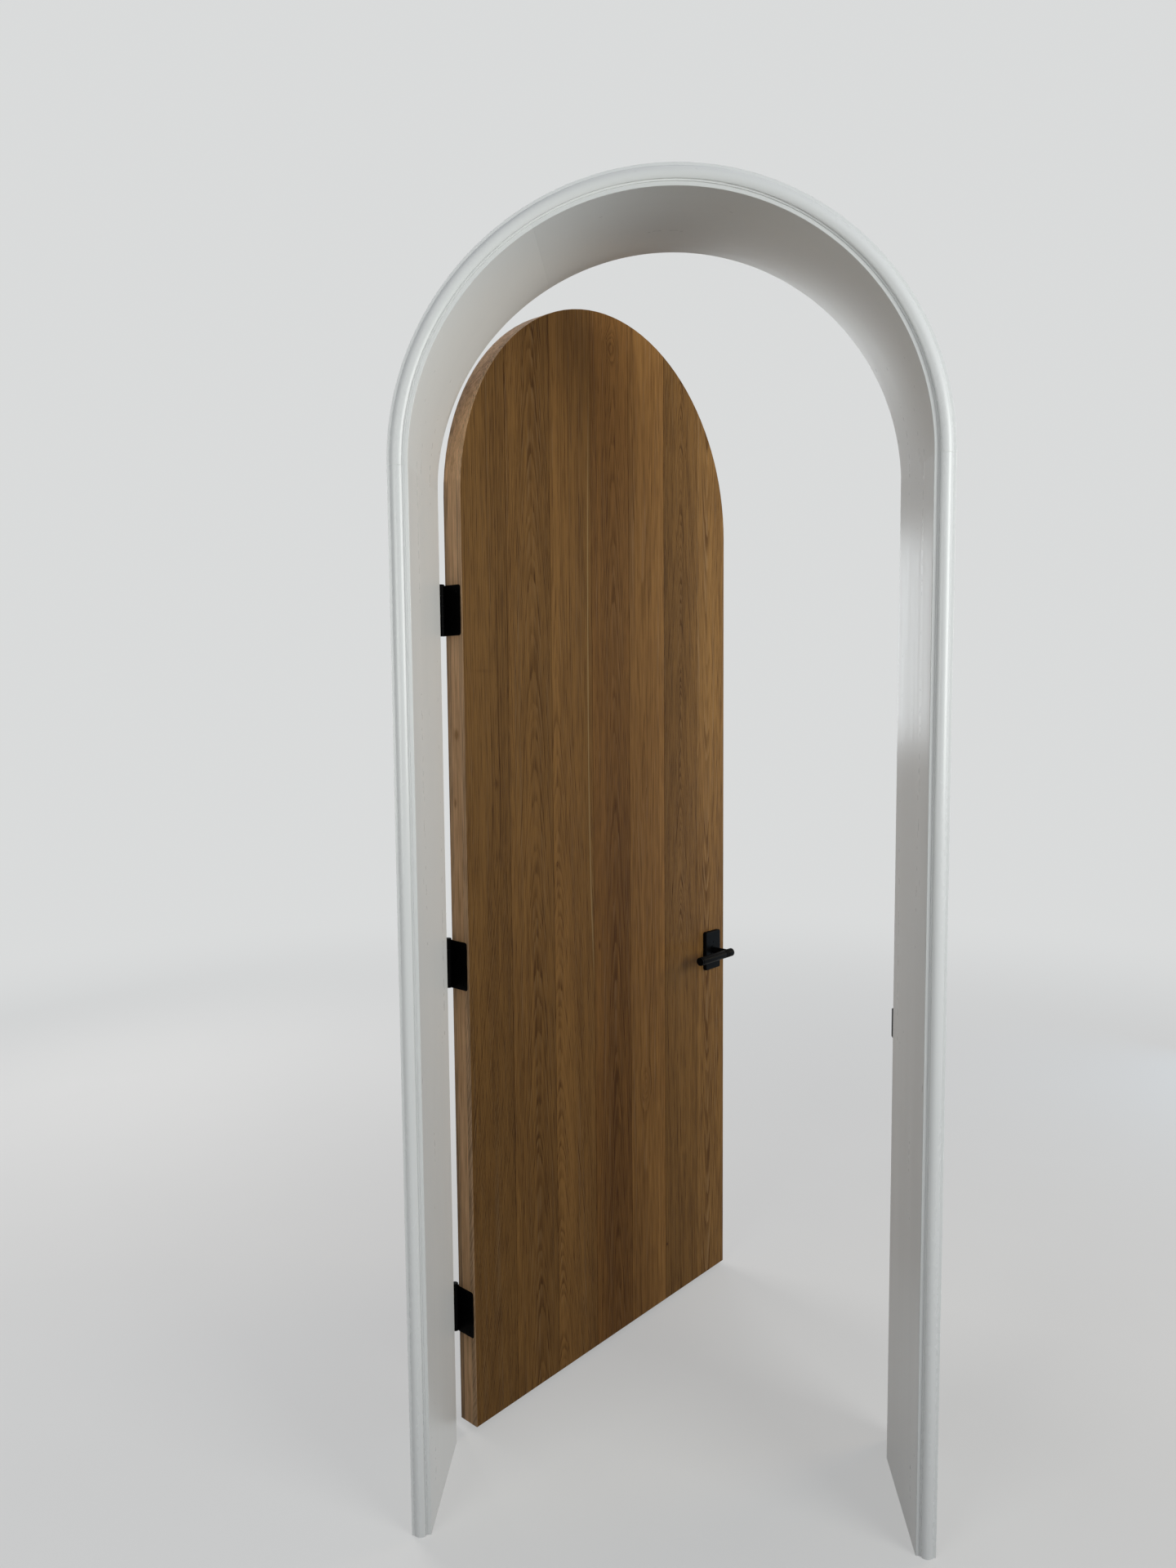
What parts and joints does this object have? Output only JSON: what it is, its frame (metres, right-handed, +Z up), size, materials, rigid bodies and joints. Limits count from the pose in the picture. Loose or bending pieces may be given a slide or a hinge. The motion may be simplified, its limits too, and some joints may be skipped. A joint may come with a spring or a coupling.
{
  "type": "arched wooden door",
  "caption": "Round-headed plank door, standing part open, hinged in a deep painted wooden lining with bead casings, butt hinges, lever handles and a latch.",
  "frame": {"origin": "on the floor, at the middle of the doorway, in the plane of the near wall face", "axes": "+X towards the latch side, +Y through the doorway to the side that the leaf opens to, +Z up"},
  "size_m": [0.994, 1.0498, 2.4709],
  "materials": {
    "matte_black": "matte black coating",
    "oak_core": "brown-stained oak, satin",
    "oak_dark": "brown-stained oak, satin",
    "oak_light": "brown-stained oak, satin",
    "oak_mid": "brown-stained oak, satin",
    "painted_wood": "semi-gloss off-white paint",
    "zinc_steel": "zinc-plated steel"
  },
  "bodies": {
    "frame": {"hinge_leg": "painted_wood", "strike_leg": "painted_wood", "head_left": "painted_wood", "head_crown": "painted_wood", "head_right": "painted_wood", "near_casing_hinge_leg": "painted_wood", "near_casing_strike_leg": "painted_wood", "near_casing_arch": "painted_wood", "far_casing_hinge_leg": "painted_wood", "far_casing_strike_leg": "painted_wood", "far_casing_arch": "painted_wood", "bottom_hinge_frame_leaf": "matte_black", "middle_hinge_frame_leaf": "matte_black", "top_hinge_frame_leaf": "matte_black", "bottom_hinge_pin": "matte_black", "middle_hinge_pin": "matte_black", "top_hinge_pin": "matte_black", "hinge_frame_screws": "matte_black", "strike_plate": "matte_black", "strike_screws": "matte_black"},
    "leaf": {"leaf_core": "oak_core", "near_board_1": "oak_mid", "near_board_2": "oak_dark", "near_board_3": "oak_light", "near_board_4": "oak_mid", "near_board_5": "oak_dark", "near_board_6": "oak_light", "near_board_7": "oak_mid", "far_board_1": "oak_mid", "far_board_2": "oak_dark", "far_board_3": "oak_light", "far_board_4": "oak_mid", "far_board_5": "oak_dark", "far_board_6": "oak_light", "far_board_7": "oak_mid", "bottom_hinge_door_leaf": "matte_black", "middle_hinge_door_leaf": "matte_black", "top_hinge_door_leaf": "matte_black", "hinge_door_screws": "matte_black", "latch_faceplate": "matte_black", "latch_screws": "matte_black", "latch_case": "zinc_steel", "near_mounting_plate": "zinc_steel", "far_mounting_plate": "zinc_steel", "mounting_screws": "zinc_steel", "near_rose": "matte_black", "far_rose": "matte_black"},
    "levers": {"near_lever": "matte_black", "far_lever": "matte_black", "spindle": "zinc_steel", "latch_hub": "zinc_steel"},
    "latch_bolt": {"latch_bolt": "matte_black"},
    "privacy_pin": {"privacy_pin": "matte_black"}
  },
  "joints": [
    {"name": "leaf_swing", "type": "hinge", "parent": "frame", "child": "leaf", "pos_m": [-0.4585, 0.322, 1], "axis": [0, 0, 1], "range_deg": [-52, 113]},
    {"name": "lever_turn", "type": "hinge", "parent": "leaf", "child": "levers", "pos_m": [0.09696, 0.97367, 0.897], "axis": [0.788, -0.6157, 0], "range_deg": [0, 50], "stiffness_Nm_per_rad": 1.2, "springref_deg": -40.11},
    {"name": "latch_slide", "type": "slide", "parent": "leaf", "child": "latch_bolt", "axis": [-0.6157, -0.788, 0], "range_m": [0, 0.012]},
    {"name": "privacy_press", "type": "slide", "parent": "leaf", "child": "privacy_pin", "axis": [0.788, -0.6157, 0], "range_m": [0, 0.005]}
  ],
  "couplings": [
    {"joint": "latch_slide", "follows": "lever_turn", "m_per_rad": 0.013751}
  ]
}
